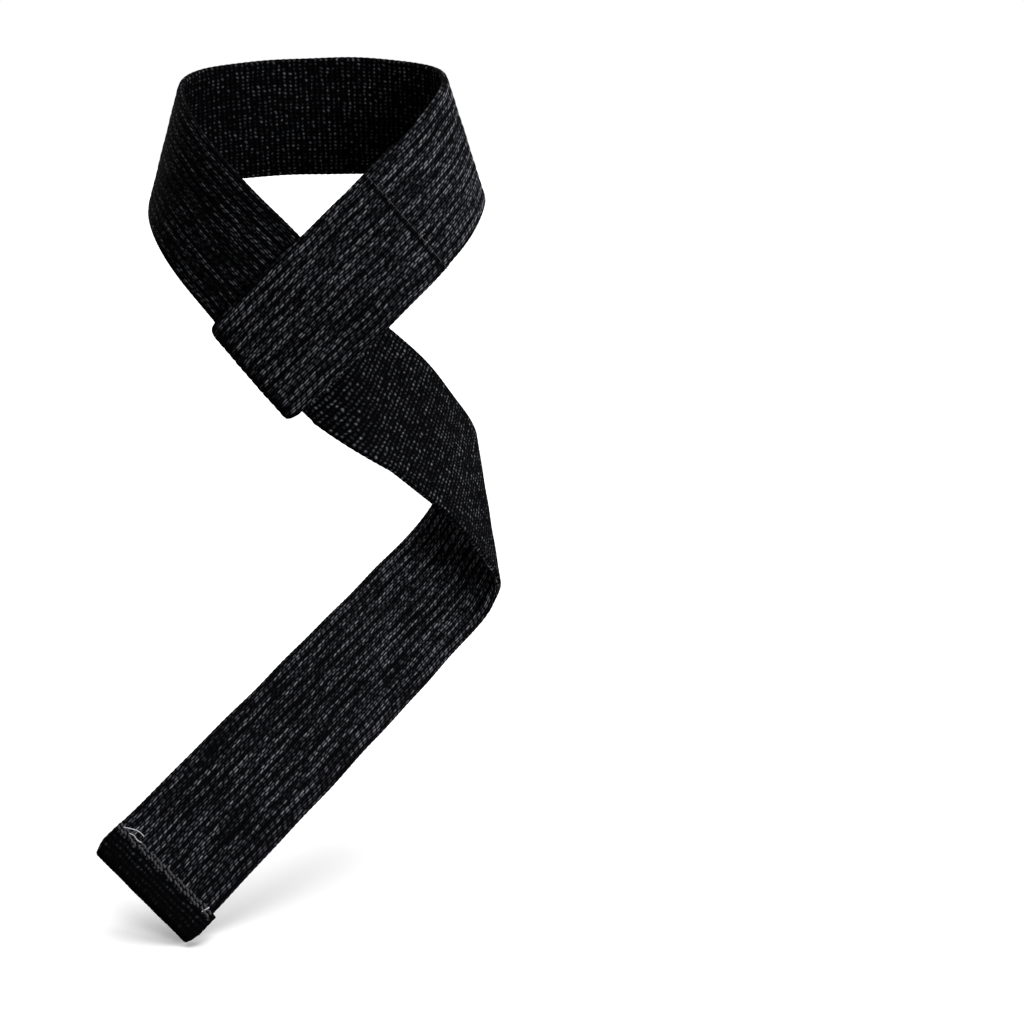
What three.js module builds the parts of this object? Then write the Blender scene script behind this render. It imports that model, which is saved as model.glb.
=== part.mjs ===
// A lasso-style weightlifting strap: one long strip of heavy cotton webbing. One end is folded back and
// sewn into a flat loop, the other end is passed through that loop to make a noose for the wrist, and what
// is left over is the tail that is wound round the bar. The tail ends in a narrow sewn hem.
//
// The webbing only bends, as real webbing does. The wrist loop is a straight strip wound round a slender
// cone whose point is up, so its two legs come down and cross at the front. The tail leaves that cone and
// goes on as a chain of bends.
//
// Millimetres and degrees, +Z up, the crossing at the front (-Y). The origin is the middle of the wrist loop.
import * as THREE from "three";

// Webbing
const STRAP_WIDTH = 38;
const STRAP_THICKNESS = 2.2;

// Air between layers
const PASSING_GAP = 0.5; // where the strap slides through its own loop
const SEWN_GAP = 0.3; // where one layer is sewn down on another
const CUT_GAP = 0.3; // where one stretch of the webbing ends and the next starts

// Cone that carries the wrist loop, measured at the level of the middle of the loop
const LOOP_HALF_WIDTH = 55;
const LOOP_FRONT_DEPTH = 37;
const LOOP_BACK_DEPTH = 26;
const FRONT_ROUNDNESS = 1.7; // 2 is an ellipse, less is more pointed
const BACK_ROUNDNESS = 2;
const POINT_HEIGHT = 175; // the cone's point above that level
const POINT_AHEAD = 20; // how far it stands ahead of the middle
const POINT_ASIDE = 3.5; // how far it stands to the left of the middle
const POINT_TO_STRAP = 150; // from the point down the back to the middle of the strap
const RIGHT_LEG_DROP = 1.6; // how far the right leg sags in its own plane on its way to the seam
const LOOP_TURN = -7; // how far the loop is turned about the vertical

// Sewn loop, measured along the strap from the middle of the crossing
const CROSSING_TO_SEAM = 45.5;
const CROSSING_TO_FOLD = 24;
const FLAP_PAST_SEAM = 12; // cut end of the webbing, beyond the seam
const FLAP_SLACK = 8; // how far the back layer bulges behind the tail

// Tail. It starts out of sight inside the sewn loop and leaves the cone a little past the crossing.
const START_TO_CROSSING = 16;
const CROSSING_TO_BENDS = 5;
const TAIL_LENGTH = 284; // from where it leaves the cone to the edge of the hem
const HEM_DEPTH = 11.5;

// The bends of the tail, in order. share: its length as a share of the way to the hem. turn: how far the strap
// bends to its back. slant: how far the line it bends about leans from straight across, at the end of the
// row. sway: how far the strap veers in its own plane, towards its lower edge.
const TAIL_BENDS = [
  { share: 0.1, turn: 44, slant: 42, sway: -13 },
  { share: 0.22, turn: 24.5, slant: 51, sway: 3 },
  { share: 0.11, turn: 88, slant: 29, sway: 12 },
  { share: 0.07, turn: 60.5, slant: 10, sway: -1 },
  { share: 0.5, turn: -12, slant: 0, sway: -1.5 },
];

// Fineness of the faceted surfaces
const ACROSS_STEPS = 6;
const EDGE_STEPS = 3;
const TURN_STEPS = 8;
const ALONG_STEP = 3.2;
const BEND_STEP = 0.5;
const CONE_STEPS = 900;
const CONE_REACH = 250; // degrees of the cone that are unrolled each way from its back
const TANGENT_STEP = 0.5; // between the two points that give a direction on the cone

const LAYER = STRAP_THICKNESS + PASSING_GAP;
const HALF_WIDTH = STRAP_WIDTH / 2;
const radians = THREE.MathUtils.degToRad;
const ease = THREE.MathUtils.smoothstep;

// Cone

// The cone's outline at the level of the middle of the loop. Angle 0 is the back, a positive one to the right.
function coneOutline(angle) {
  const aside = Math.sin(angle);
  const behind = Math.cos(angle);
  const depth = behind > 0 ? LOOP_BACK_DEPTH : LOOP_FRONT_DEPTH;
  const roundness = behind > 0 ? BACK_ROUNDNESS : FRONT_ROUNDNESS;
  const reach = Math.sign(behind) * Math.abs(behind) ** (2 / roundness);
  return new THREE.Vector3(LOOP_HALF_WIDTH * aside, depth * reach, 0);
}

const conePoint = new THREE.Vector3(-POINT_ASIDE, -POINT_AHEAD, POINT_HEIGHT);

// The cone unrolled: the direction of each of its straight lines, and the angle that it has on the flat.
function unrollCone() {
  const lines = [];
  let unrolled = 0;
  for (let i = 0; i <= CONE_STEPS; i += 1) {
    const angle = radians(CONE_REACH) * ((2 * i) / CONE_STEPS - 1);
    const direction = coneOutline(angle).sub(conePoint).normalize();
    if (i > 0) unrolled += lines[i - 1].direction.angleTo(direction);
    lines.push({ angle, direction, unrolled });
  }
  const back = lines[CONE_STEPS / 2].unrolled;
  for (const line of lines) line.unrolled -= back;
  return lines;
}

const coneLines = unrollCone();

// Reads the table of lines at a value of one of its columns, with the share of the way to the next line.
function lineAt(column, value) {
  let low = 0;
  let high = CONE_STEPS;
  while (high - low > 1) {
    const middle = (low + high) >> 1;
    if (coneLines[middle][column] <= value) low = middle;
    else high = middle;
  }
  const [from, to] = [coneLines[low], coneLines[high]];
  return { from, to, share: (value - from[column]) / (to[column] - from[column]) };
}

function directionAt(unrolled) {
  const { from, to, share } = lineAt("unrolled", unrolled);
  return from.direction.clone().lerp(to.direction, share).normalize();
}

// A point of the strap on the cone. along: from the middle of the back, to the right. across: from the middle
// of the strap, downwards. out: off the cone's surface, outwards.
function onCone(along, across, out) {
  const down = POINT_TO_STRAP + across;
  const unrolled = Math.atan2(along, down);
  const reach = Math.hypot(along, down);
  const direction = directionAt(unrolled);
  const normal = directionAt(unrolled + TANGENT_STEP / reach)
    .sub(directionAt(unrolled - TANGENT_STEP / reach))
    .cross(direction)
    .normalize();
  return direction.multiplyScalar(reach).add(conePoint).addScaledVector(normal, out);
}

// How far along the strap its middle reaches the front of the cone, by the right leg or by the left leg
function alongAtFront(angle) {
  const { from, to, share } = lineAt("angle", angle);
  return POINT_TO_STRAP * Math.tan(THREE.MathUtils.lerp(from.unrolled, to.unrolled, share));
}

const rightCrossing = alongAtFront(Math.PI);
const leftCrossing = alongAtFront(-Math.PI);

// Solids

// The webbing's cross-section, once round: two flat faces in steps, and a rounded selvedge at each end.
function webbingSection() {
  const radius = STRAP_THICKNESS / 2;
  const flat = HALF_WIDTH - radius;
  const points = [];
  for (const side of [1, -1]) {
    for (let i = 0; i <= EDGE_STEPS; i += 1) {
      const angle = Math.PI * (i / EDGE_STEPS - 0.5);
      const over = flat + radius * Math.cos(angle);
      points.push(new THREE.Vector2(side * over, side * radius * Math.sin(angle)));
    }
    for (let i = 1; i < ACROSS_STEPS; i += 1) {
      points.push(new THREE.Vector2(side * flat * (1 - (2 * i) / ACROSS_STEPS), side * radius));
    }
  }
  return points;
}

const section = webbingSection();

// A closed solid of webbing through stations in order: place(station, across, through) gives each point.
function webbingMesh(name, stations, place) {
  const round = section.length;
  const positions = [];
  const faces = [];
  for (const station of stations) {
    for (const { x, y } of section) positions.push(...place(station, x, y));
  }
  for (let i = 0; i + 1 < stations.length; i += 1) {
    for (let j = 0; j < round; j += 1) {
      const a = i * round + j;
      const b = i * round + ((j + 1) % round);
      faces.push(a, b, b + round);
      faces.push(a, b + round, a + round);
    }
  }
  const last = (stations.length - 1) * round;
  for (const [a, b, c] of THREE.ShapeUtils.triangulateShape(section, [])) {
    faces.push(a, c, b);
    faces.push(last + a, last + b, last + c);
  }
  const geometry = new THREE.BufferGeometry();
  geometry.setAttribute("position", new THREE.Float32BufferAttribute(positions, 3));
  geometry.setIndex(faces);
  geometry.computeVertexNormals();
  const cotton = new THREE.MeshStandardMaterial({ color: 0x17181a, roughness: 0.9, metalness: 0 });
  const mesh = new THREE.Mesh(geometry, cotton);
  mesh.name = name;
  return mesh;
}

// Even steps from one value to another, both included
function steps(from, to, step) {
  const count = Math.max(2, Math.ceil(Math.abs(to - from) / step));
  return Array.from({ length: count + 1 }, (_, i) => from + ((to - from) * i) / count);
}

// Wrist band

const seamAlong = rightCrossing - CROSSING_TO_SEAM;
const startAlong = leftCrossing + START_TO_CROSSING;
const bendsAlong = leftCrossing - CROSSING_TO_BENDS;

// The band is a layer further in on the left, where it goes behind the sewn loop.
function bandOut(along) {
  return LAYER * (ease(along, leftCrossing / 2, rightCrossing / 2) - 1);
}

// The right leg's sag, none at the middle of the back
function drop(along) {
  return RIGHT_LEG_DROP * ease(along, 0, seamAlong);
}

// A section of the band lies along the cone's straight lines, and squares up towards both of its ends.
function onBand(along, across, through) {
  const fromTail = ease(along, startAlong, startAlong + STRAP_WIDTH);
  const fromSeam = 1 - ease(along, seamAlong - STRAP_WIDTH, seamAlong);
  const lean = (fromTail * fromSeam * along) / POINT_TO_STRAP;
  return onCone(along + across * lean, across + drop(along), bandOut(along) + through);
}

const bandStations = steps(startAlong + CUT_GAP / 2, seamAlong - CUT_GAP / 2, ALONG_STEP);

// Sewn loop

const foldAlong = rightCrossing + CROSSING_TO_FOLD - LAYER - STRAP_THICKNESS / 2;
const slackAlong = rightCrossing - HALF_WIDTH;

// How far off the cone the back layer lies: sewn down at the seam, slack behind the tail, and two layers
// in at the fold.
function flapOut(along) {
  const sewn = -(STRAP_THICKNESS + SEWN_GAP);
  const away = ease(along, seamAlong, slackAlong);
  const slack = away - ease(along, slackAlong, foldAlong);
  return THREE.MathUtils.lerp(sewn, -2 * LAYER, away) - FLAP_SLACK * slack;
}

// The loop seen from its side, as points [along, out]: front layer, fold, back layer
function loopSide() {
  const front = steps(seamAlong + CUT_GAP / 2, foldAlong, ALONG_STEP).map((along) => [along, 0]);
  const turn = steps(0, Math.PI, Math.PI / TURN_STEPS)
    .slice(1, -1)
    .map((angle) => [foldAlong + LAYER * Math.sin(angle), LAYER * (Math.cos(angle) - 1)]);
  const back = steps(foldAlong, seamAlong - FLAP_PAST_SEAM, ALONG_STEP)
    .map((along) => [along, flapOut(along)]);
  return [...front, ...turn, ...back].map(([along, out]) => new THREE.Vector2(along, out));
}

// Gives each point of a side view the direction that the webbing has there.
function withDirections(points) {
  return points.map((point, i) => {
    const before = points[Math.max(i - 1, 0)];
    const after = points[Math.min(i + 1, points.length - 1)];
    return { point, direction: after.clone().sub(before).normalize() };
  });
}

function onLoop({ point, direction }, across, through) {
  const sagged = across + drop(point.x);
  return onCone(point.x - direction.y * through, sagged, point.y + direction.x * through);
}

// Tail

// On the cone the tail's sections go over from square to the cone's straight lines.
function onConeTail(along, across, through) {
  const done = (startAlong - along) / (startAlong - bendsAlong);
  return onCone(along + (across * done * bendsAlong) / POINT_TO_STRAP, across, -LAYER - through);
}

// The strap's frame as it leaves the cone: its middle, and the directions along and across it.
function leavingFrame() {
  const at = (along, across) => onCone(bendsAlong + along, across, -LAYER);
  const along = at(-TANGENT_STEP, 0).sub(at(TANGENT_STEP, 0)).normalize();
  const across = at(0, TANGENT_STEP).sub(at(0, -TANGENT_STEP));
  across.addScaledVector(along, -across.dot(along)).normalize();
  return { middle: at(0, 0), along, across };
}

// Follows the table of bends. A bend is gentle at its ends and tightest in its middle.
function tailFrames() {
  let { middle, along, across } = leavingFrame();
  let slantBefore = Math.atan2(-bendsAlong, POINT_TO_STRAP);
  const frames = [{ middle, along, across, lean: Math.tan(slantBefore) }];
  for (const { share, turn, slant: slantAfter, sway } of TAIL_BENDS) {
    const length = (TAIL_LENGTH - HEM_DEPTH) * share;
    const count = Math.ceil(length / BEND_STEP);
    for (let i = 0; i < count; i += 1) {
      const done = (i + 0.5) / count;
      const slant = THREE.MathUtils.lerp(slantBefore, radians(slantAfter), done);
      const axis = across.clone().multiplyScalar(Math.cos(slant)).addScaledVector(along, Math.sin(slant));
      const bend = (-radians(turn) * (1 - Math.cos(2 * Math.PI * done))) / count;
      middle = middle.clone().addScaledVector(along, length / count);
      along = along.clone().applyAxisAngle(axis, bend);
      across = across.clone().applyAxisAngle(axis, bend);
      const through = along.clone().cross(across);
      along.applyAxisAngle(through, radians(sway) / count).normalize();
      across.applyAxisAngle(through, radians(sway) / count).normalize();
      frames.push({ middle, along, across, lean: Math.tan(slant) });
    }
    slantBefore = radians(slantAfter);
  }
  return frames;
}

const frames = tailFrames();
const hemFrame = { ...frames.at(-1), lean: 0 };

function onFrame({ middle, along, across, lean }, over, through) {
  return middle
    .clone()
    .addScaledVector(across, over)
    .addScaledVector(along, over * lean)
    .addScaledVector(along.clone().cross(across), through);
}

function onTail(station, across, through) {
  const place = typeof station === "number" ? onConeTail : onFrame;
  return place(station, across, through);
}

const stride = Math.round(ALONG_STEP / BEND_STEP);
const tailStations = [
  ...steps(startAlong - CUT_GAP / 2, bendsAlong, ALONG_STEP).slice(0, -1),
  ...frames.slice(0, -stride).filter((_, i) => i % stride === 0),
  hemFrame,
];

// Hem

// The hem seen from its side, as points [along, through]: tail, fold, and the flap sewn down on it
function hemSide() {
  const radius = (STRAP_THICKNESS + SEWN_GAP) / 2;
  const foldAt = HEM_DEPTH - radius - STRAP_THICKNESS / 2;
  const base = steps(CUT_GAP, foldAt, ALONG_STEP).map((along) => [along, 0]);
  const turn = steps(0, Math.PI, Math.PI / TURN_STEPS)
    .slice(1, -1)
    .map((angle) => [foldAt + radius * Math.sin(angle), radius * (1 - Math.cos(angle))]);
  const flap = steps(foldAt, CUT_GAP, ALONG_STEP).map((along) => [along, 2 * radius]);
  return [...base, ...turn, ...flap].map(([along, through]) => new THREE.Vector2(along, through));
}

// The hem goes straight on from the last frame of the tail.
function onHem({ point, direction }, across, through) {
  const middle = hemFrame.middle.clone().addScaledVector(hemFrame.along, point.x - direction.y * through);
  return onFrame({ ...hemFrame, middle }, across, point.y + direction.x * through);
}

// Strap, turned as it hangs and moved so that the middle of the wrist loop is the origin

const strap = new THREE.Group();
strap.add(webbingMesh("wrist_band", bandStations, onBand));
strap.add(webbingMesh("sewn_loop", withDirections(loopSide()), onLoop));
strap.add(webbingMesh("tail", tailStations, onTail));
strap.add(webbingMesh("tail_hem", withDirections(hemSide()), onHem));

const loopMiddle = new THREE.Box3()
  .setFromPoints(steps(leftCrossing, rightCrossing, ALONG_STEP).map((along) => onCone(along, 0, 0)))
  .getCenter(new THREE.Vector3());
strap.position.copy(loopMiddle).negate();
const turned = new THREE.Group();
turned.rotation.z = radians(LOOP_TURN);
turned.add(strap);

export default turned;
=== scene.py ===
"""A lasso-style weightlifting strap of black cotton webbing, on a pale floor in soft studio light.

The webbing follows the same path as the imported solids: a straight strip wound round a slender cone for
the wrist, a sewn loop at the crossing, and a tail that goes on as a chain of bends down to a sewn hem.
Path sizes are in millimetres and degrees, as in the solids' own source; meshes are made in metres.
"""

import logging
import math
from dataclasses import dataclass, field
from enum import Enum
from typing import Callable

import bpy
import numpy as np
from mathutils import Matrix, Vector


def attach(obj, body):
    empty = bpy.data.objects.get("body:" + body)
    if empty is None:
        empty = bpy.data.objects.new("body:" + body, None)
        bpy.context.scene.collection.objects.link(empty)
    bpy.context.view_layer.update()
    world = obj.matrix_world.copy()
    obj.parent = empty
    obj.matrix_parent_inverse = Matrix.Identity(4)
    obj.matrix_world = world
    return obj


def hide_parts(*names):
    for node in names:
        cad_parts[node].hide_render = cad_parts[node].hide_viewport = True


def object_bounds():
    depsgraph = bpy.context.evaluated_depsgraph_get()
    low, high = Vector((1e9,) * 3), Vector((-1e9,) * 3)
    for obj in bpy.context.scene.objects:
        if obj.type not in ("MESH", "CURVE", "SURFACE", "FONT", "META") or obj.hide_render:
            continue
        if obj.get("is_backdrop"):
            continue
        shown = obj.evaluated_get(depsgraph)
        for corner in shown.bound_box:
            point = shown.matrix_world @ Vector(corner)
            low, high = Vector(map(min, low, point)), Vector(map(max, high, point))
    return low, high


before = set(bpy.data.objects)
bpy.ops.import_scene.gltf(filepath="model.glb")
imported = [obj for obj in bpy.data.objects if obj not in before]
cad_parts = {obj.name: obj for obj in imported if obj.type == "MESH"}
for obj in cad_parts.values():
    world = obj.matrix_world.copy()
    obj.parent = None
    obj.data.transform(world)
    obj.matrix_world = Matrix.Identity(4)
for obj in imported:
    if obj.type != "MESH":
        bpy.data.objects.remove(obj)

log = logging.getLogger("strap")
MM = 0.001
Place = Callable[[np.ndarray, np.ndarray, np.ndarray], np.ndarray]
Line = Callable[[np.ndarray, np.ndarray], np.ndarray]


class Weave(Enum):
    """How one face of the webbing looks: bold lengthwise ribs, or a fine grid of yarn dots."""

    RIBBED = 0.0
    GRID = 1.0


def ease(value: np.ndarray | float, low: float, high: float) -> np.ndarray:
    """Goes smoothly from 0 at low to 1 at high.

    Args:
        value: What is compared with the two limits.
        low: Where the step starts.
        high: Where the step ends.

    Returns:
        The share of the step that is done, from 0 to 1.
    """
    share = np.clip((np.asarray(value, float) - low) / (high - low), 0.0, 1.0)
    return share * share * (3.0 - 2.0 * share)


def unit(vectors: np.ndarray) -> np.ndarray:
    """Returns the vectors with length 1."""
    return vectors / np.linalg.norm(vectors, axis=-1, keepdims=True)


def turned(vector: np.ndarray, axis: np.ndarray, angle: float) -> np.ndarray:
    """Turns a vector about an axis.

    Args:
        vector: The vector to turn.
        axis: The axis, of length 1.
        angle: The turn in radians, right-handed.

    Returns:
        The turned vector.
    """
    along = axis * (axis @ vector) * (1.0 - math.cos(angle))
    return vector * math.cos(angle) + np.cross(axis, vector) * math.sin(angle) + along


@dataclass(frozen=True)
class Webbing:
    """The strip itself: its width, its thickness, and the yarns that show on it."""

    width: float = 38.0
    thickness: float = 2.2
    rib_pitch: float = 2.77
    rib_height: float = 0.30
    passing_gap: float = 0.5
    sewn_gap: float = 0.3

    @property
    def layer(self) -> float:
        """How far one layer lies from the next where the strap slides."""
        return self.thickness + self.passing_gap

    def relief(self, along: np.ndarray, across: np.ndarray, weave: np.ndarray) -> np.ndarray:
        """Gives the height of the yarns over the plain face.

        Args:
            along: Distance along the strap.
            across: Distance from the middle of the strap.
            weave: 0 on a ribbed face, 1 on a gridded one.

        Returns:
            The height at each point, in millimetres.
        """
        rib = np.abs(np.cos(math.pi * across / self.rib_pitch)) ** 0.6
        tightness = 0.8 + 0.2 * np.sin(along * 0.37 + across * 1.9) * np.sin(along * 0.11 - across)
        drift = 0.07 * np.sin(along * 0.21 + across * 0.4) * np.sin(along * 0.083 - across * 0.17)
        ribbed = self.rib_height * tightness * (rib - 0.75)
        gridded = 0.08 * (np.abs(np.cos(2.0 * math.pi * across / self.rib_pitch)) - 0.5)
        return (1.0 - weave) * ribbed + weave * gridded + drift


@dataclass
class Cone:
    """The slender cone, point up, that the wrist loop is wound round."""

    half_width: float = 55.0
    front_depth: float = 37.0
    back_depth: float = 26.0
    front_roundness: float = 1.7
    back_roundness: float = 2.0
    point_height: float = 175.0
    point_ahead: float = 20.0
    point_aside: float = 3.5
    point_to_strap: float = 150.0
    loop_turn: float = -7.0
    reach: float = 250.0
    lines: int = 900

    def __post_init__(self) -> None:
        """Unrolls the cone and finds where the two legs cross at its front."""
        self.point = np.array([-self.point_aside, -self.point_ahead, self.point_height])
        self.angles = np.radians(self.reach) * (2.0 * np.arange(self.lines + 1) / self.lines - 1.0)
        self.directions = unit(self.outline(self.angles) - self.point)
        cosines = np.clip((self.directions[1:] * self.directions[:-1]).sum(1), -1.0, 1.0)
        self.unrolled = np.concatenate([[0.0], np.cumsum(np.arccos(cosines))])
        self.unrolled -= self.unrolled[self.lines // 2]
        self.right_crossing = self.along_at(math.pi)
        self.left_crossing = self.along_at(-math.pi)
        loop = np.linspace(self.left_crossing, self.right_crossing, 120)
        points = self.place(loop, np.zeros(120), np.zeros(120))
        self.middle = (points.min(0) + points.max(0)) / 2.0

    def outline(self, angle: np.ndarray) -> np.ndarray:
        """Gives the cone's outline at the level of the middle of the loop.

        Args:
            angle: Angles from the back, positive to the right.

        Returns:
            A point for each angle.
        """
        aside, behind = np.sin(angle), np.cos(angle)
        depth = np.where(behind > 0, self.back_depth, self.front_depth)
        power = 2.0 / np.where(behind > 0, self.back_roundness, self.front_roundness)
        y = depth * np.sign(behind) * np.abs(behind) ** power
        return np.stack([self.half_width * aside, y, np.zeros_like(y)], -1)

    def along_at(self, angle: float) -> float:
        """Returns how far along the strap its middle meets the line of the cone at that angle."""
        return self.point_to_strap * math.tan(float(np.interp(angle, self.angles, self.unrolled)))

    def direction(self, unrolled: np.ndarray) -> np.ndarray:
        """Returns the direction of the cone's straight line at each unrolled angle."""
        return unit(np.stack([np.interp(unrolled, self.unrolled, c) for c in self.directions.T], -1))

    def place(self, along: np.ndarray, across: np.ndarray, out: np.ndarray) -> np.ndarray:
        """Puts points of the strap on the cone.

        Args:
            along: From the middle of the back, to the right.
            across: From the middle of the strap, downwards.
            out: Off the cone's surface, outwards.

        Returns:
            A point for each set of three values.
        """
        down = self.point_to_strap + across
        unrolled = np.arctan2(along, down)
        nudge = 0.5 / np.hypot(along, down)
        lines = self.direction(unrolled)
        ahead = self.direction(unrolled + nudge) - self.direction(unrolled - nudge)
        normals = unit(np.cross(ahead, lines))
        return self.point + lines * np.hypot(along, down)[..., None] + normals * out[..., None]

    def finished(self, points: np.ndarray) -> np.ndarray:
        """Moves points so that the middle of the loop is the origin, turns them, and gives metres.

        Args:
            points: Points in the cone's own frame, in millimetres.

        Returns:
            The points in the part's frame, in metres.
        """
        c, s = math.cos(math.radians(self.loop_turn)), math.sin(math.radians(self.loop_turn))
        turn = np.array([[c, -s, 0.0], [s, c, 0.0], [0.0, 0.0, 1.0]])
        return (points - self.middle) @ turn.T * MM


@dataclass(frozen=True)
class Bend:
    """One stretch of the tail: its share of the length, and how far it bends, slants and veers."""

    share: float
    turn: float
    slant: float
    sway: float


@dataclass(frozen=True)
class Node:
    """A shader socket with short ways to combine it with others."""

    tree: bpy.types.NodeTree
    socket: bpy.types.NodeSocket

    def math(self, operation: str, other: "Node | float" = 0.0, third: float = 0.0) -> "Node":
        """Adds a Math node.

        Args:
            operation: Blender's name of the operation.
            other: The second value.
            third: The third value.

        Returns:
            The result.
        """
        node = self.tree.nodes.new("ShaderNodeMath")
        node.operation = operation
        self.tree.links.new(self.socket, node.inputs[0])
        if isinstance(other, Node):
            self.tree.links.new(other.socket, node.inputs[1])
        else:
            node.inputs[1].default_value = other
        node.inputs[2].default_value = third
        return Node(self.tree, node.outputs[0])

    def times(self, factor: "Node | float", offset: float = 0.0) -> "Node":
        """Returns this value times a factor, plus an offset."""
        return self.math("MULTIPLY_ADD", factor, offset)

    def plus(self, other: "Node | float") -> "Node":
        """Returns this value plus another."""
        return self.math("ADD", other)

    def wave(self) -> "Node":
        """Returns a wave from 0 to 1 that repeats once per unit of this value."""
        return self.times(2.0 * math.pi).math("SINE").times(0.5, 0.5)

    def mixed(self, other: "Node", share: "Node") -> "Node":
        """Blends this value and another.

        Args:
            other: The other value.
            share: The other's share, from 0 to 1.

        Returns:
            The blend.
        """
        node = self.tree.nodes.new("ShaderNodeMix")
        self.tree.links.new(share.socket, node.inputs[0])
        self.tree.links.new(self.socket, node.inputs[2])
        self.tree.links.new(other.socket, node.inputs[3])
        return Node(self.tree, node.outputs[0])

    def ramp(self, stops: list[tuple[float, tuple[float, float, float]]]) -> "Node":
        """Adds a colour ramp.

        Args:
            stops: Places from 0 to 1, each with its colour.

        Returns:
            The colour.
        """
        node = self.tree.nodes.new("ShaderNodeValToRGB")
        elements = node.color_ramp.elements
        while len(elements) < len(stops):
            elements.new(0.5)
        for element, (place, colour) in zip(elements, stops):
            element.position = place
            element.color = (*colour, 1.0)
        self.tree.links.new(self.socket, node.inputs[0])
        return Node(self.tree, node.outputs[0])


@dataclass(frozen=True)
class Finish:
    """What every finish shares: a node tree with one shader, and ways to read places on the piece."""

    name: str

    def start(self) -> tuple[bpy.types.Material, bpy.types.NodeTree, bpy.types.ShaderNode]:
        """Starts a material.

        Returns:
            The new material, its node tree and its shader.
        """
        material = bpy.data.materials.new(self.name)
        material.use_nodes = True
        tree = material.node_tree
        return material, tree, tree.nodes["Principled BSDF"]

    @staticmethod
    def uv(tree: bpy.types.NodeTree, layer: str) -> tuple[Node, Node]:
        """Reads a UV map.

        Args:
            tree: The material's node tree.
            layer: The UV map's name.

        Returns:
            Its two values.
        """
        source = tree.nodes.new("ShaderNodeUVMap")
        source.uv_map = layer
        split = tree.nodes.new("ShaderNodeSeparateXYZ")
        tree.links.new(source.outputs[0], split.inputs[0])
        return Node(tree, split.outputs[0]), Node(tree, split.outputs[1])

    @staticmethod
    def noise(tree: bpy.types.NodeTree, scale: float, detail: float) -> Node:
        """Adds a noise on the object's own coordinates.

        Args:
            tree: The material's node tree.
            scale: How many lumps there are to a metre.
            detail: How many finer layers it has.

        Returns:
            The noise, from 0 to 1.
        """
        place = tree.nodes.new("ShaderNodeTexCoord")
        node = tree.nodes.new("ShaderNodeTexNoise")
        node.inputs["Scale"].default_value = scale
        node.inputs["Detail"].default_value = detail
        tree.links.new(place.outputs["Object"], node.inputs["Vector"])
        return Node(tree, node.outputs[0])

    @staticmethod
    def bump(shader: bpy.types.ShaderNode, height: Node, strength: float, distance: float) -> None:
        """Gives the shader a fine relief from a height.

        Args:
            shader: The shader.
            height: The height, from 0 to 1.
            strength: How strong the relief looks.
            distance: How high it stands, in metres.
        """
        node = height.tree.nodes.new("ShaderNodeBump")
        node.inputs["Strength"].default_value = strength
        node.inputs["Distance"].default_value = distance
        height.tree.links.new(height.socket, node.inputs["Height"])
        height.tree.links.new(node.outputs[0], shader.inputs["Normal"])


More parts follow.
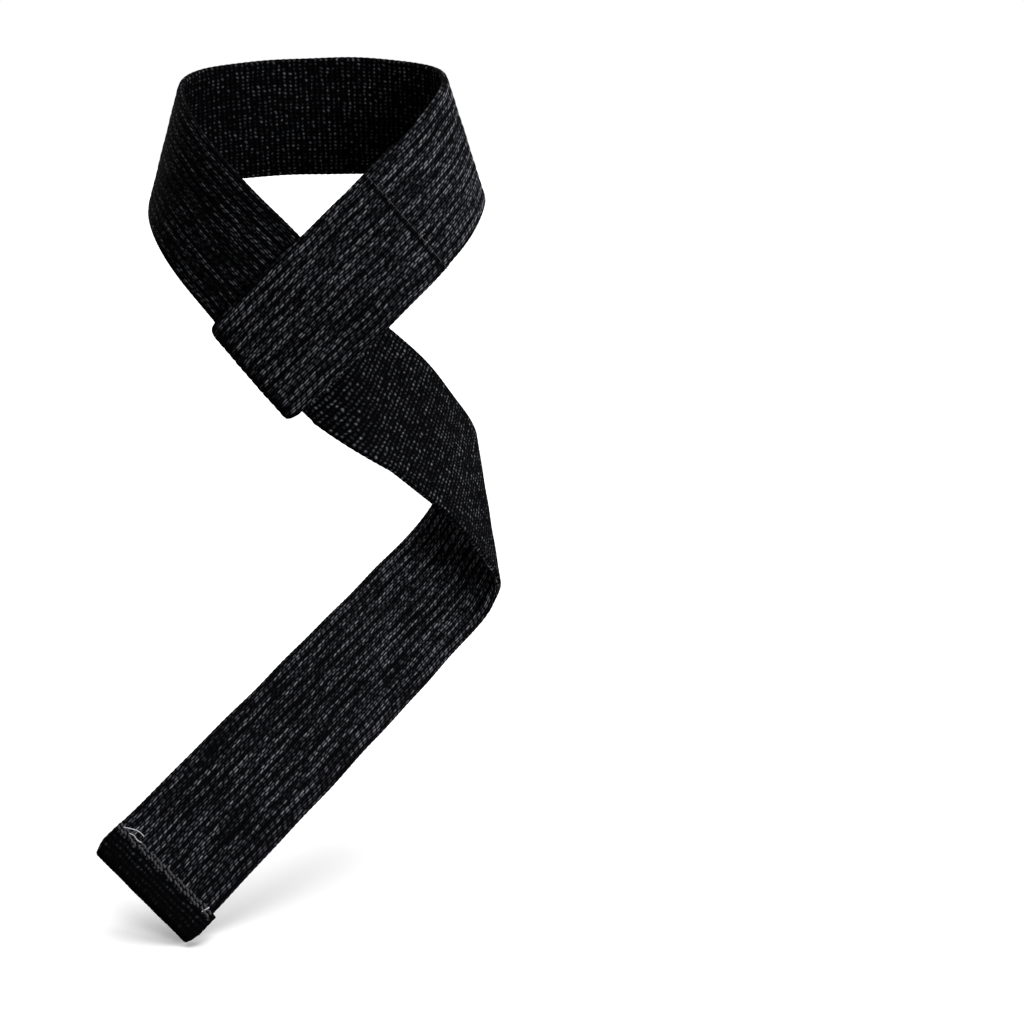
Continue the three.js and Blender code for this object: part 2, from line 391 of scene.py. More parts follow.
@dataclass(frozen=True)
class CottonWebbing(Finish):
    """Near-black cotton with no shine: dark between the yarns as painted shade, and a little paler on top of
    them as a painted highlight, with random tone besides.
    """

    name: str = "black cotton webbing"
    rib_pitch: float = 2.77
    columns: float = 3.4
    oval_along: float = 2.3
    slant: float = 0.2
    looseness: float = 1.1
    grid_along: float = 1.75
    grid_across: float = 1.25
    grid_tone: float = 0.72

    def streaks(self, along: Node, across: Node) -> Node:
        """Adds a noise that runs in streaks along the strap, as some yarns are paler than others.

        Args:
            along: Distance along the strap, in millimetres.
            across: Distance across it.

        Returns:
            The noise, from 0 to 1.
        """
        tree = along.tree
        place = tree.nodes.new("ShaderNodeCombineXYZ")
        tree.links.new(along.times(0.05).socket, place.inputs[0])
        tree.links.new(across.times(0.75).socket, place.inputs[1])
        node = tree.nodes.new("ShaderNodeTexNoise")
        node.inputs["Scale"].default_value = 1.0
        node.inputs["Detail"].default_value = 2.0
        tree.links.new(place.outputs[0], node.inputs["Vector"])
        return Node(tree, node.outputs[0])

    @staticmethod
    def chance(row: Node, column: Node) -> Node:
        """Draws one random number for each float of yarn.

        Args:
            row: The number of the row that the float is in.
            column: The number of its column.

        Returns:
            The number, from 0 to 1.
        """
        tree = row.tree
        place = tree.nodes.new("ShaderNodeCombineXYZ")
        tree.links.new(row.socket, place.inputs[0])
        tree.links.new(column.socket, place.inputs[1])
        node = tree.nodes.new("ShaderNodeTexWhiteNoise")
        node.noise_dimensions = "3D"
        tree.links.new(place.outputs[0], node.inputs["Vector"])
        return Node(tree, node.outputs["Value"])

    def ovals(self, along: Node, across: Node, loose: Node) -> Node:
        """Lays out the ribbed face: small slanted floats in columns, about half a float off their neighbours.

        Args:
            along: Distance along the strap, in millimetres.
            across: Distance across it.
            loose: A noise that lets the floats wander.

        Returns:
            The height, from 0 to 1.
        """
        column = across.times(self.columns / self.rib_pitch).plus(loose.times(0.5))
        number = column.math("FLOOR")
        own = self.chance(number, number.times(0.5)).times(0.6)
        row = along.times(1.0 / self.oval_along).plus(number.times(0.5).math("FRACT")).plus(own)
        row = row.plus(loose.times(self.looseness))
        ahead = row.math("FRACT")
        beside = column.math("FRACT").plus(ahead.times(-self.slant, 0.5 * self.slant))
        beside = beside.math("MAXIMUM", 0.0).math("MINIMUM", 1.0)
        length = ahead.times(math.pi).math("SINE").math("POWER", 0.9)
        width = beside.times(math.pi).math("SINE").math("POWER", 1.2)
        rib = across.times(math.pi / self.rib_pitch).math("COSINE").math("ABSOLUTE")
        streak = self.streaks(along, across).times(3.2, -0.7).math("MAXIMUM", 0.15)
        bright = self.chance(row.math("FLOOR"), number).math("POWER", 1.4).times(0.95, 0.3)
        plied = width.times(length.times(0.88, 0.12)).times(bright)
        return plied.times(rib.times(1.05, 0.12)).times(streak)

    def dots(self, along: Node, across: Node, loose: Node) -> Node:
        """Lays out the gridded face: small dots in rows straight across the strap.

        Args:
            along: Distance along the strap, in millimetres.
            across: Distance across it.
            loose: A noise that lets the dots wander.

        Returns:
            The height, from 0 to 1.
        """
        row = along.times(1.0 / self.grid_along).plus(loose.times(0.9))
        lane = across.times(1.0 / self.grid_across).plus(loose.times(1.1))
        streak = self.streaks(along, across).times(1.7, 0.05)
        chance = self.chance(row.plus(0.25).math("FLOOR"), lane.plus(0.25).math("FLOOR"))
        bright = chance.math("POWER", 1.5).times(1.0, 0.2)
        spot = row.wave().math("POWER", 1.5).times(lane.wave().times(0.85, 0.15))
        return spot.times(streak).times(bright).times(self.grid_tone)

    def make(self) -> bpy.types.Material:
        """Builds the material.

        Returns:
            The material, which reads the UV maps strap and weave.
        """
        material, tree, shader = self.start()
        along, across = self.uv(tree, "strap")
        # The weave map's second value is each stretch's tone with painted shade in it.
        kind, shade_and_tone = self.uv(tree, "weave")
        loose = self.noise(tree, 330.0, 2.0).plus(-0.5)
        sway = self.noise(tree, 120.0, 1.0).times(0.9, -0.45)
        along, across = along.times(1000.0), across.times(1000.0).plus(sway)
        weave = self.ovals(along, across, loose).mixed(self.dots(along, across, loose), kind)
        fibre = self.noise(tree, 2600.0, 2.0)
        height = weave.plus(fibre.times(0.3, -0.15))
        worn = self.noise(tree, 520.0, 2.0).times(1.4, 0.35)
        fading = self.noise(tree, 26.0, 3.0).times(0.7, 0.65)
        tone = height.times(worn).times(fading).times(shade_and_tone)
        # The yarns' height sets the colour: painted shade in the grooves and between the ribs, a painted
        # highlight on the yarn tops, with random wear and fading, and the weave map's painted shade on top.
        colour = tone.ramp(
            [
                (0.0, (0.0003, 0.0003, 0.0004)),
                (0.12, (0.0020, 0.0021, 0.0025)),
                (0.32, (0.0150, 0.0155, 0.0180)),
                (0.65, (0.0600, 0.0610, 0.0680)),
                (1.0, (0.1200, 0.1215, 0.1310)),
            ]
        )
        tree.links.new(colour.socket, shader.inputs["Base Color"])
        dullness = height.times(-0.25, 0.85)
        tree.links.new(dullness.socket, shader.inputs["Roughness"])
        shader.inputs["Specular IOR Level"].default_value = 0.01
        self.bump(shader, height, 1.0, 0.0005)
        return material


@dataclass(frozen=True)
class Thread(Finish):
    """Sewing thread: two plies twisted together."""

    name: str = "sewing thread"
    dark: tuple[float, float, float] = (0.012, 0.012, 0.014)
    light: tuple[float, float, float] = (0.05, 0.05, 0.055)

    def make(self) -> bpy.types.Material:
        """Builds the material.

        Returns:
            The material, with the twist as a fine relief.
        """
        material, tree, shader = self.start()
        fibre = self.noise(tree, 3200.0, 3.0)
        colour = fibre.ramp([(0.3, self.dark), (0.75, self.light)])
        tree.links.new(colour.socket, shader.inputs["Base Color"])
        shader.inputs["Roughness"].default_value = 0.6
        shader.inputs["Specular IOR Level"].default_value = 0.05
        self.bump(shader, fibre, 0.5, 0.0001)
        return material


@dataclass(frozen=True)
class StudioFloor(Finish):
    """A matte white floor that throws little light back up on the strap."""

    name: str = "studio floor"
    pale: float = 0.7
    bounce: float = 0.2

    def make(self) -> bpy.types.Material:
        """Builds the material.

        Returns:
            The material.
        """
        material, tree, shader = self.start()
        path = tree.nodes.new("ShaderNodeLightPath")
        seen = Node(tree, path.outputs["Is Camera Ray"]).times(self.pale - self.bounce, self.bounce)
        colour = seen.ramp([(0.0, (0.0, 0.0, 0.0)), (1.0, (1.0, 1.0, 1.0))])
        tree.links.new(colour.socket, shader.inputs["Base Color"])
        shader.inputs["Roughness"].default_value = 1.0
        shader.inputs["Specular IOR Level"].default_value = 0.0
        return material


@dataclass
class Stretch:
    """One stretch of webbing, ready to be made: its stations, and what places its sections."""

    name: str
    stations: np.ndarray
    place: Place
    outer: Callable[[np.ndarray], np.ndarray]
    inner: Callable[[np.ndarray], np.ndarray]
    lean: Callable[[np.ndarray], np.ndarray]
    # The stretch's tone along its length, with painted shade in it; it goes into the colour.
    shade_and_tone: Callable[[np.ndarray], np.ndarray]
    length: float
    held: str


@dataclass
class WebbingMaker:
    """Makes a closed piece of webbing from its stations, with the ribs and yarns as real relief."""

    webbing: Webbing
    finish: bpy.types.Material
    across_steps: int = 88
    edge_steps: int = 7

    def section(self) -> tuple[np.ndarray, np.ndarray]:
        """Lays out the webbing's cross-section, once round and closed.

        Returns:
            Points as (across, through), and the way out of the webbing at each point.
        """
        radius = self.webbing.thickness / 2.0
        flat = self.webbing.width / 2.0 - radius
        points: list[tuple[float, float]] = []
        normals: list[tuple[float, float]] = []
        for side in (1.0, -1.0):
            for i in range(self.edge_steps + 1):
                angle = math.pi * (i / self.edge_steps - 0.5)
                out = (side * math.cos(angle), side * math.sin(angle))
                points.append((side * flat + radius * out[0], radius * out[1]))
                normals.append(out)
            for i in range(1, self.across_steps):
                points.append((side * flat * (1.0 - 2.0 * i / self.across_steps), side * radius))
                normals.append((0.0, side))
        return np.array(points + points[:1]), np.array(normals + normals[:1])

    def make(self, stretch: Stretch) -> bpy.types.Object:
        """Builds one stretch.

        Args:
            stretch: What to build.

        Returns:
            The finished object, dressed and parented to the root body.
        """
        points, normals = self.section()
        ring, rows = len(points), len(stretch.stations)
        bpy.ops.object.select_all(action="DESELECT")
        bpy.ops.mesh.primitive_grid_add(
            x_subdivisions=ring - 1, y_subdivisions=rows - 1, size=1.0, location=(0.0, 0.0, 0.0)
        )
        piece = bpy.context.object
        piece.name = piece.data.name = stretch.name
        self.shape(piece.data, stretch, points, normals)
        bpy.ops.object.mode_set(mode="EDIT")
        bpy.ops.mesh.select_all(action="SELECT")
        bpy.ops.mesh.remove_doubles(threshold=1e-6)
        bpy.ops.mesh.select_all(action="SELECT")
        bpy.ops.mesh.fill_holes(sides=0)
        bpy.ops.mesh.select_all(action="SELECT")
        bpy.ops.mesh.normals_make_consistent(inside=False)
        bpy.ops.object.mode_set(mode="OBJECT")
        bpy.ops.object.shade_smooth()
        piece.data.materials.append(self.finish)
        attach(piece, "root")
        return piece

    def shape(
        self, mesh: bpy.types.Mesh, stretch: Stretch, points: np.ndarray, normals: np.ndarray
    ) -> None:
        """Moves a grid's points on to the webbing's path and writes its two UV maps.

        Args:
            mesh: The grid, one column for each point of the section, one row for each station.
            stretch: The stretch of webbing.
            points: The section.
            normals: The way out of the section at each of its points.
        """
        rows, ring = len(stretch.stations), len(points)
        station = np.repeat(stretch.stations[:, None], ring, 1)
        across = np.repeat(points[None, :, 0], rows, 0)
        through = np.repeat(points[None, :, 1], rows, 0)
        along = station + across * stretch.lean(station)
        upper = ease(through, -0.3, 0.3)
        weave = upper * stretch.outer(along) + (1.0 - upper) * stretch.inner(along)
        flat = np.abs(normals[None, :, 1])
        relief = self.webbing.relief(along, across, weave) * flat
        twist = np.sin(2.0 * math.pi * (along / 2.1 + 0.15 * through))
        relief += (0.07 * twist - 0.02) * (1.0 - flat)
        wavy = 0.16 * np.sin(along * 0.19 + np.sign(across)) * np.sin(along * 0.047 + 1.0)
        bowed = wavy * (2.0 * across / self.webbing.width) ** 3
        across_now = across + normals[None, :, 0] * relief + bowed
        through_now = through + normals[None, :, 1] * relief
        placed = stretch.place(station, across_now, through_now)
        assert len(mesh.vertices) == rows * ring, (len(mesh.vertices), rows, ring)
        mesh.vertices.foreach_set("co", placed.reshape(-1).astype(np.float32))
        corners = np.empty(len(mesh.loops), np.int32)
        mesh.loops.foreach_get("vertex_index", corners)
        while mesh.uv_layers:
            mesh.uv_layers.remove(mesh.uv_layers[0])
        # The weave map's second value holds the stretch's tone with painted shade in it.
        for name, u, v in (("strap", along * MM, across * MM), ("weave", weave, stretch.shade_and_tone(along))):
            layer = mesh.uv_layers.new(name=name)
            values = np.stack([u.reshape(-1)[corners], v.reshape(-1)[corners]], -1)
            layer.uv.foreach_set("vector", values.reshape(-1).astype(np.float32))


@dataclass
class Profile:
    """A side view of folded webbing, as points [along, out], read by the distance along it."""

    points: np.ndarray

    def __post_init__(self) -> None:
        """Measures the distance along the line and the direction at each point."""
        steps = np.linalg.norm(np.diff(self.points, axis=0), axis=1)
        self.distance = np.concatenate([[0.0], np.cumsum(steps)])
        self.length = float(self.distance[-1])
        self.directions = unit(np.gradient(self.points, self.distance, axis=0))

    def at(self, distance: np.ndarray, through: np.ndarray) -> tuple[np.ndarray, np.ndarray]:
        """Reads the line at a distance, and steps off it.

        Args:
            distance: Distances along the line.
            through: How far to step to the line's left.

        Returns:
            The along and out values of each point.
        """
        x, y = (np.interp(distance, self.distance, c) for c in self.points.T)
        dx, dy = (np.interp(distance, self.distance, c) for c in self.directions.T)
        size = np.hypot(dx, dy)
        return x - dy / size * through, y + dx / size * through


@dataclass
class StrapPath:
    """Where every stretch of the strap lies, from the same sizes as the solids."""

    webbing: Webbing = field(default_factory=Webbing)
    cone: Cone = field(default_factory=Cone)
    crossing_to_seam: float = 45.5
    crossing_to_fold: float = 24.0
    flap_past_seam: float = 12.0
    flap_slack: float = 8.0
    right_leg_drop: float = 1.6
    start_to_crossing: float = 16.0
    crossing_to_bends: float = 5.0
    tail_length: float = 284.0
    hem_depth: float = 11.5
    hem_flare: float = 1.6
    fold_pinch: float = 0.06
    fold_reach: float = 2.4
    # Strengths and reaches of painted shade: in the sewn loop's fold, in the furrow beside the seam, on the
    # left leg and towards the tail's end.
    fold_shade: float = 0.75
    fold_shade_reach: float = 4.5
    furrow_at: float = 2.9
    furrow_shade: float = 0.85
    furrow_reach: float = 0.7
    left_leg_shade: float = 0.45
    end_shade: float = 0.3
    square_end: float = 12.0
    cut_clearance: float = 0.15
    band_step: float = 0.6
    loop_step: float = 0.5
    tail_step: float = 0.62
    hem_step: float = 0.25
    bend_step: float = 0.5
    bends: tuple[Bend, ...] = (
        Bend(0.1, 44.0, 42.0, -13.0),
        Bend(0.22, 24.5, 51.0, 3.0),
        Bend(0.11, 88.0, 29.0, 12.0),
        Bend(0.07, 60.5, 10.0, -1.0),
        Bend(0.5, -12.0, 0.0, -1.5),
    )

    def __post_init__(self) -> None:
        """Works out where the stretches meet, the sewn loop's side view and the tail's frames."""
        cone, webbing = self.cone, self.webbing
        self.seam = cone.right_crossing - self.crossing_to_seam
        self.start = cone.left_crossing + self.start_to_crossing
        self.leave = cone.left_crossing - self.crossing_to_bends
        self.fold = cone.right_crossing + self.crossing_to_fold - webbing.layer - webbing.thickness / 2.0
        self.slack = cone.right_crossing - webbing.width / 2.0
        self.loop = self.loop_profile()
        self.follow_bends()
        self.hem = self.hem_profile()

    def band_out(self, along: np.ndarray) -> np.ndarray:
        """Returns how far off the cone the wrist band lies: a layer further in on the left."""
        half = (self.cone.left_crossing / 2.0, self.cone.right_crossing / 2.0)
        return self.webbing.layer * (ease(along, *half) - 1.0)

    def drop(self, along: np.ndarray) -> np.ndarray:
        """Returns how far the right leg sags in its own plane."""
        return self.right_leg_drop * ease(along, 0.0, self.seam)

    def band_lean(self, along: np.ndarray) -> np.ndarray:
        """Works out how far the wrist band's sections lean from square.

        Args:
            along: Distance along the strap.

        Returns:
            The lean, as a slope.
        """
        width = self.webbing.width
        square = ease(along, self.start, self.start + width) * (
            1.0 - ease(along, self.seam - width, self.seam)
        )
        return square * along / self.cone.point_to_strap

    def on_band(self, along: np.ndarray, across: np.ndarray, through: np.ndarray) -> np.ndarray:
        """Places points of the wrist band."""
        skewed = along + across * self.band_lean(along)
        sagged = across + self.drop(along)
        return self.cone.finished(self.cone.place(skewed, sagged, self.band_out(along) + through))

    def loop_fold(self) -> float:
        """Returns how far along the sewn loop its fold is."""
        return self.fold - self.seam + 0.5 * math.pi * self.webbing.layer

    def hem_fold(self) -> float:
        """Returns how far along the hem its fold is."""
        radius = (self.webbing.thickness + self.webbing.sewn_gap) / 2.0
        return self.hem_depth - radius - self.webbing.thickness / 2.0 + 0.5 * math.pi * radius

    def pinched(self, past_fold: np.ndarray, across: np.ndarray) -> np.ndarray:
        """Draws the webbing in a little at a fold, which rounds its corners.

        Args:
            past_fold: Distance along the webbing from the fold.
            across: Distance from the middle of the strap.

        Returns:
            The new distance from the middle.
        """
        return across * (1.0 - self.fold_pinch * np.exp(-((past_fold / self.fold_reach) ** 2)))

    def flap_out(self, along: np.ndarray) -> np.ndarray:
        """Works out how far off the cone the back layer of the sewn loop lies.

        Args:
            along: Distance along the strap.

        Returns:
            The distance, less than 0 on the wrist's side.
        """
        sewn = -(self.webbing.thickness + self.webbing.sewn_gap)
        away = ease(along, self.seam, self.slack)
        slack = away - ease(along, self.slack, self.fold)
        return sewn + (-2.0 * self.webbing.layer - sewn) * away - self.flap_slack * slack

    def loop_profile(self) -> Profile:
        """Draws the sewn loop from its side: front layer, fold, back layer.

        Returns:
            The side view.
        """
        layer = self.webbing.layer
        front = np.linspace(self.seam, self.fold, 140)
        angle = np.linspace(0.0, math.pi, 40)[1:-1]
        back = np.linspace(self.fold, self.seam - self.flap_past_seam, 180)
        return Profile(
            np.vstack(
                [
                    np.stack([front, np.zeros_like(front)], -1),
                    np.stack([self.fold + layer * np.sin(angle), layer * (np.cos(angle) - 1.0)], -1),
                    np.stack([back, self.flap_out(back)], -1),
                ]
            )
        )

    def on_loop(self, distance: np.ndarray, across: np.ndarray, through: np.ndarray) -> np.ndarray:
        """Places points of the sewn loop.

        Args:
            distance: Distance along the webbing, from the seam and round the fold.
            across: Distance from the middle of the strap.
            through: Distance from the middle of its thickness.

        Returns:
            The points, in metres.
        """
        along, out = self.loop.at(distance, through)
        across = self.pinched(distance - self.loop_fold(), across)
        sagged = across + self.drop(self.loop.at(distance, np.zeros_like(through))[0])
        return self.cone.finished(self.cone.place(along, sagged, out))

    def follow_bends(self) -> None:
        """Follows the tail from where it leaves the cone, through its bends, to the hem."""
        zero = np.zeros(1)
        out = zero - self.webbing.layer

        def at(along: float, across: float) -> np.ndarray:
            """Returns a point near the place where the tail leaves the cone."""
            return self.cone.place(zero + self.leave + along, zero + across, out)[0]

        middle = at(0.0, 0.0)
        along = unit(at(-0.5, 0.0) - at(0.5, 0.0))
        across = at(0.0, 0.5) - at(0.0, -0.5)
        across = unit(across - along * (across @ along))
        slant = math.atan2(-self.leave, self.cone.point_to_strap)
        rows = [(0.0, middle, along, across, math.tan(slant))]
        walked = 0.0
        for bend in self.bends:
            length = (self.tail_length - self.hem_depth) * bend.share
            count = math.ceil(length / self.bend_step)
            for i in range(count):
                done = (i + 0.5) / count
                now = slant + (math.radians(bend.slant) - slant) * done
                axis = unit(across * math.cos(now) + along * math.sin(now))
                angle = -math.radians(bend.turn) * (1.0 - math.cos(2.0 * math.pi * done)) / count
                middle = middle + along * (length / count)
                along, across = turned(along, axis, angle), turned(across, axis, angle)
                through = unit(np.cross(along, across))
                sway = math.radians(bend.sway) / count
                along, across = unit(turned(along, through, sway)), unit(turned(across, through, sway))
                walked += length / count
                rows.append((walked, middle, along, across, math.tan(now)))
            slant = math.radians(bend.slant)
        self.walked = np.array([r[0] for r in rows])
        self.middles = np.array([r[1] for r in rows])
        self.alongs = np.array([r[2] for r in rows])
        self.acrosses = np.array([r[3] for r in rows])
        leans = np.array([r[4] for r in rows])
        near_end = ease(self.walked, walked - self.square_end, walked)
        self.leans = leans * (1.0 - near_end)

    def between(self, walked: np.ndarray, rows: np.ndarray) -> np.ndarray:
        """Returns what lies between the rows at distances along the tail."""
        return np.stack([np.interp(walked, self.walked, column) for column in rows.T], -1)

    def frames(self, walked: np.ndarray) -> tuple[np.ndarray, np.ndarray, np.ndarray, np.ndarray]:
        """Reads the tail's frames.

        Args:
            walked: Distances along the tail.

        Returns:
            The middle, the directions along and across, and the lean at each distance.
        """
        middle = self.between(walked, self.middles)
        along, across = unit(self.between(walked, self.alongs)), self.between(walked, self.acrosses)
        across = unit(across - along * (across * along).sum(-1, keepdims=True))
        return middle, along, across, np.interp(walked, self.walked, self.leans)

    def tail_lean(self, walked: np.ndarray) -> np.ndarray:
        """Returns how far the tail's sections lean from square, also inside the sewn loop."""
        inside = self.start - self.leave
        on_cone = -self.leave / self.cone.point_to_strap * np.clip(1.0 + walked / inside, 0.0, 1.0)
        return np.where(walked < 0.0, on_cone, np.interp(walked, self.walked, self.leans))

    def on_tail(self, walked: np.ndarray, across: np.ndarray, through: np.ndarray) -> np.ndarray:
        """Places points of the tail.

        Args:
            walked: Distance along the tail; less than 0 is inside the sewn loop.
            across: Distance from the middle of the strap.
            through: Distance from the middle of its thickness.

        Returns:
            The points, in metres.
        """
        middle, ahead, aside, lean = self.frames(np.maximum(walked, 0.0))
        free = middle + aside * across[..., None] + ahead * (across * lean)[..., None]
        free = free + np.cross(ahead, aside) * through[..., None]
        along = self.leave - walked - across * self.tail_lean(walked)
        inside = self.cone.place(along, across, -self.webbing.layer - through)
        return self.cone.finished(np.where((walked < 0.0)[..., None], inside, free))

    def hem_profile(self) -> Profile:
        """Draws the hem from its side: tail, fold, and the flap sewn down on it.

        Returns:
            The side view.
        """
        radius = (self.webbing.thickness + self.webbing.sewn_gap) / 2.0
        fold = self.hem_depth - radius - self.webbing.thickness / 2.0
        angle = np.linspace(0.0, math.pi, 30)[1:-1]
        base, flap = np.linspace(0.0, fold, 30), np.linspace(fold, 0.3, 30)
        return Profile(
            np.vstack(
                [
                    np.stack([base, np.zeros_like(base)], -1),
                    np.stack([fold + radius * np.sin(angle), radius * (1.0 - np.cos(angle))], -1),
                    np.stack([flap, np.full_like(flap, 2.0 * radius)], -1),
                ]
            )
        )

    def beside_hem(self, along: np.ndarray, across: np.ndarray, out: np.ndarray) -> np.ndarray:
        """Places points by the hem's own frame.

        Args:
            along: Distance along the tail, from where the hem starts.
            across: Distance from the middle of the strap.
            out: Distance off the tail's middle, to the side that the flap is on.

        Returns:
            The points, in metres.
        """
        end, ahead, aside = self.middles[-1], self.alongs[-1], self.acrosses[-1]
        away = np.cross(ahead, aside)
        points = end + ahead * along[..., None] + aside * across[..., None] + away * out[..., None]
        return self.cone.finished(points)

    def on_hem(self, distance: np.ndarray, across: np.ndarray, through: np.ndarray) -> np.ndarray:
        """Places points of the hem, which stands a little wider than the tail at its lower edge.

        Args:
            distance: Distance along the webbing, round its fold.
            across: Distance from the middle of the strap.
            through: Distance from the middle of its thickness.

        Returns:
            The points, in metres.
        """
        along, out = self.hem.at(distance, through)
        across = self.pinched(distance - self.hem_fold(), across)
        folded = ease(distance, 1.0, self.hem_depth)
        flared = across + self.hem_flare * folded * ease(across, 6.0, 19.0)
        return self.beside_hem(along, flared, out)

    def square(self, along: np.ndarray) -> np.ndarray:
        """Returns no lean: the sections stand square to the strap."""
        return np.zeros_like(along)

    def ribbed(self, along: np.ndarray) -> np.ndarray:
        """Returns the ribbed weave all along."""
        return np.full_like(along, Weave.RIBBED.value)

    def gridded(self, along: np.ndarray) -> np.ndarray:
        """Returns the gridded weave all along."""
        return np.full_like(along, Weave.GRID.value)

    def painted_shade_left_leg(self, along: np.ndarray) -> np.ndarray:
        """Returns the wrist band's tone, with painted shade darkening the left leg."""
        return 1.0 - self.left_leg_shade * (1.0 - ease(along, -90.0, 10.0))

    def painted_shade_at_fold(self, along: np.ndarray) -> np.ndarray:
        """Returns the loop's tone, with painted shade where it is folded and in the furrow beside the seam.
        """
        fold_shadow = np.exp(-(((along - self.loop_fold()) / self.fold_shade_reach) ** 4))
        beside_seam = np.exp(-(((along - self.furrow_at) / self.furrow_reach) ** 2))
        return 1.0 - self.fold_shade * fold_shadow - self.furrow_shade * beside_seam

    def painted_shade_towards_end(self, along: np.ndarray) -> np.ndarray:
        """Returns the tail's tone, with painted shade that darkens it a little towards its end."""
        return 1.0 - self.end_shade * ease(along, 90.0, 250.0)

    def dark_hem(self, along: np.ndarray) -> np.ndarray:
        """Returns the hem's tone: a folded end, darker on the tail's side and round the fold than along the
        flap.
        """
        return 0.3 + 0.3 * ease(along, self.hem_depth + 3.0, self.hem_depth + 9.0)

    def stretches(self) -> list[Stretch]:
        """Lists the four stretches of webbing.

        Returns:
            The wrist band, the sewn loop, the tail and the hem.
        """
        tail_end = self.tail_length - self.hem_depth
        band = np.arange(self.start + self.cut_clearance, self.seam, self.band_step)
        loop = np.arange(0.02, self.loop.length, self.loop_step)
        tail = np.arange(self.leave - self.start + self.cut_clearance, tail_end, self.tail_step)
        hem = np.arange(0.0, self.hem.length, self.hem_step)
        return [
            Stretch(
                "wrist_webbing",
                np.append(band, self.seam),
                self.on_band,
                self.ribbed,
                self.gridded,
                self.band_lean,
                self.painted_shade_left_leg,
                self.seam - self.start,
                "stretched",
            ),
            Stretch(
                "sewn_loop_webbing",
                np.append(loop, self.loop.length),
                self.on_loop,
                self.ribbed,
                self.gridded,
                self.square,
                self.painted_shade_at_fold,
                self.loop.length,
                "folded",
            ),
            Stretch(
                "tail_webbing",
                np.append(tail, tail_end),
                self.on_tail,
                self.ribbed,
                self.gridded,
                self.tail_lean,
                self.painted_shade_towards_end,
                tail_end + self.start - self.leave,
                "hung",
            ),
            Stretch(
                "hem_webbing",
                np.append(hem, self.hem.length),
                self.on_hem,
                self.gridded,
                self.gridded,
                self.square,
                self.dark_hem,
                self.hem.length,
                "folded",
            ),
        ]


@dataclass(frozen=True)
class Stitch:
    """One kind of stitch: its length, the distance from one to the next, its radius and its slant."""

    length: float
    pitch: float
    radius: float
    slant: float


@dataclass(frozen=True)
class SeamLine:
    """A line across the strap at the seam, for a row of stitches."""

    path: StrapPath
    along: float
    out: float

    def at(self, across: np.ndarray, off: np.ndarray) -> np.ndarray:
        """Returns the points at distances across the strap and off the line."""
        cone, sag = self.path.cone, float(self.path.drop(np.array(self.along)))
        return cone.finished(cone.place(self.along + off, across + sag, np.full_like(across, self.out)))


@dataclass(frozen=True)
class HemLine:
    """A line across the strap at the hem, for a row of stitches."""

    path: StrapPath
    along: float
    out: float

    def at(self, across: np.ndarray, off: np.ndarray) -> np.ndarray:
        """Returns the points at distances across the strap and off the line."""
        return self.path.beside_hem(self.along + off, across, np.full_like(across, self.out))


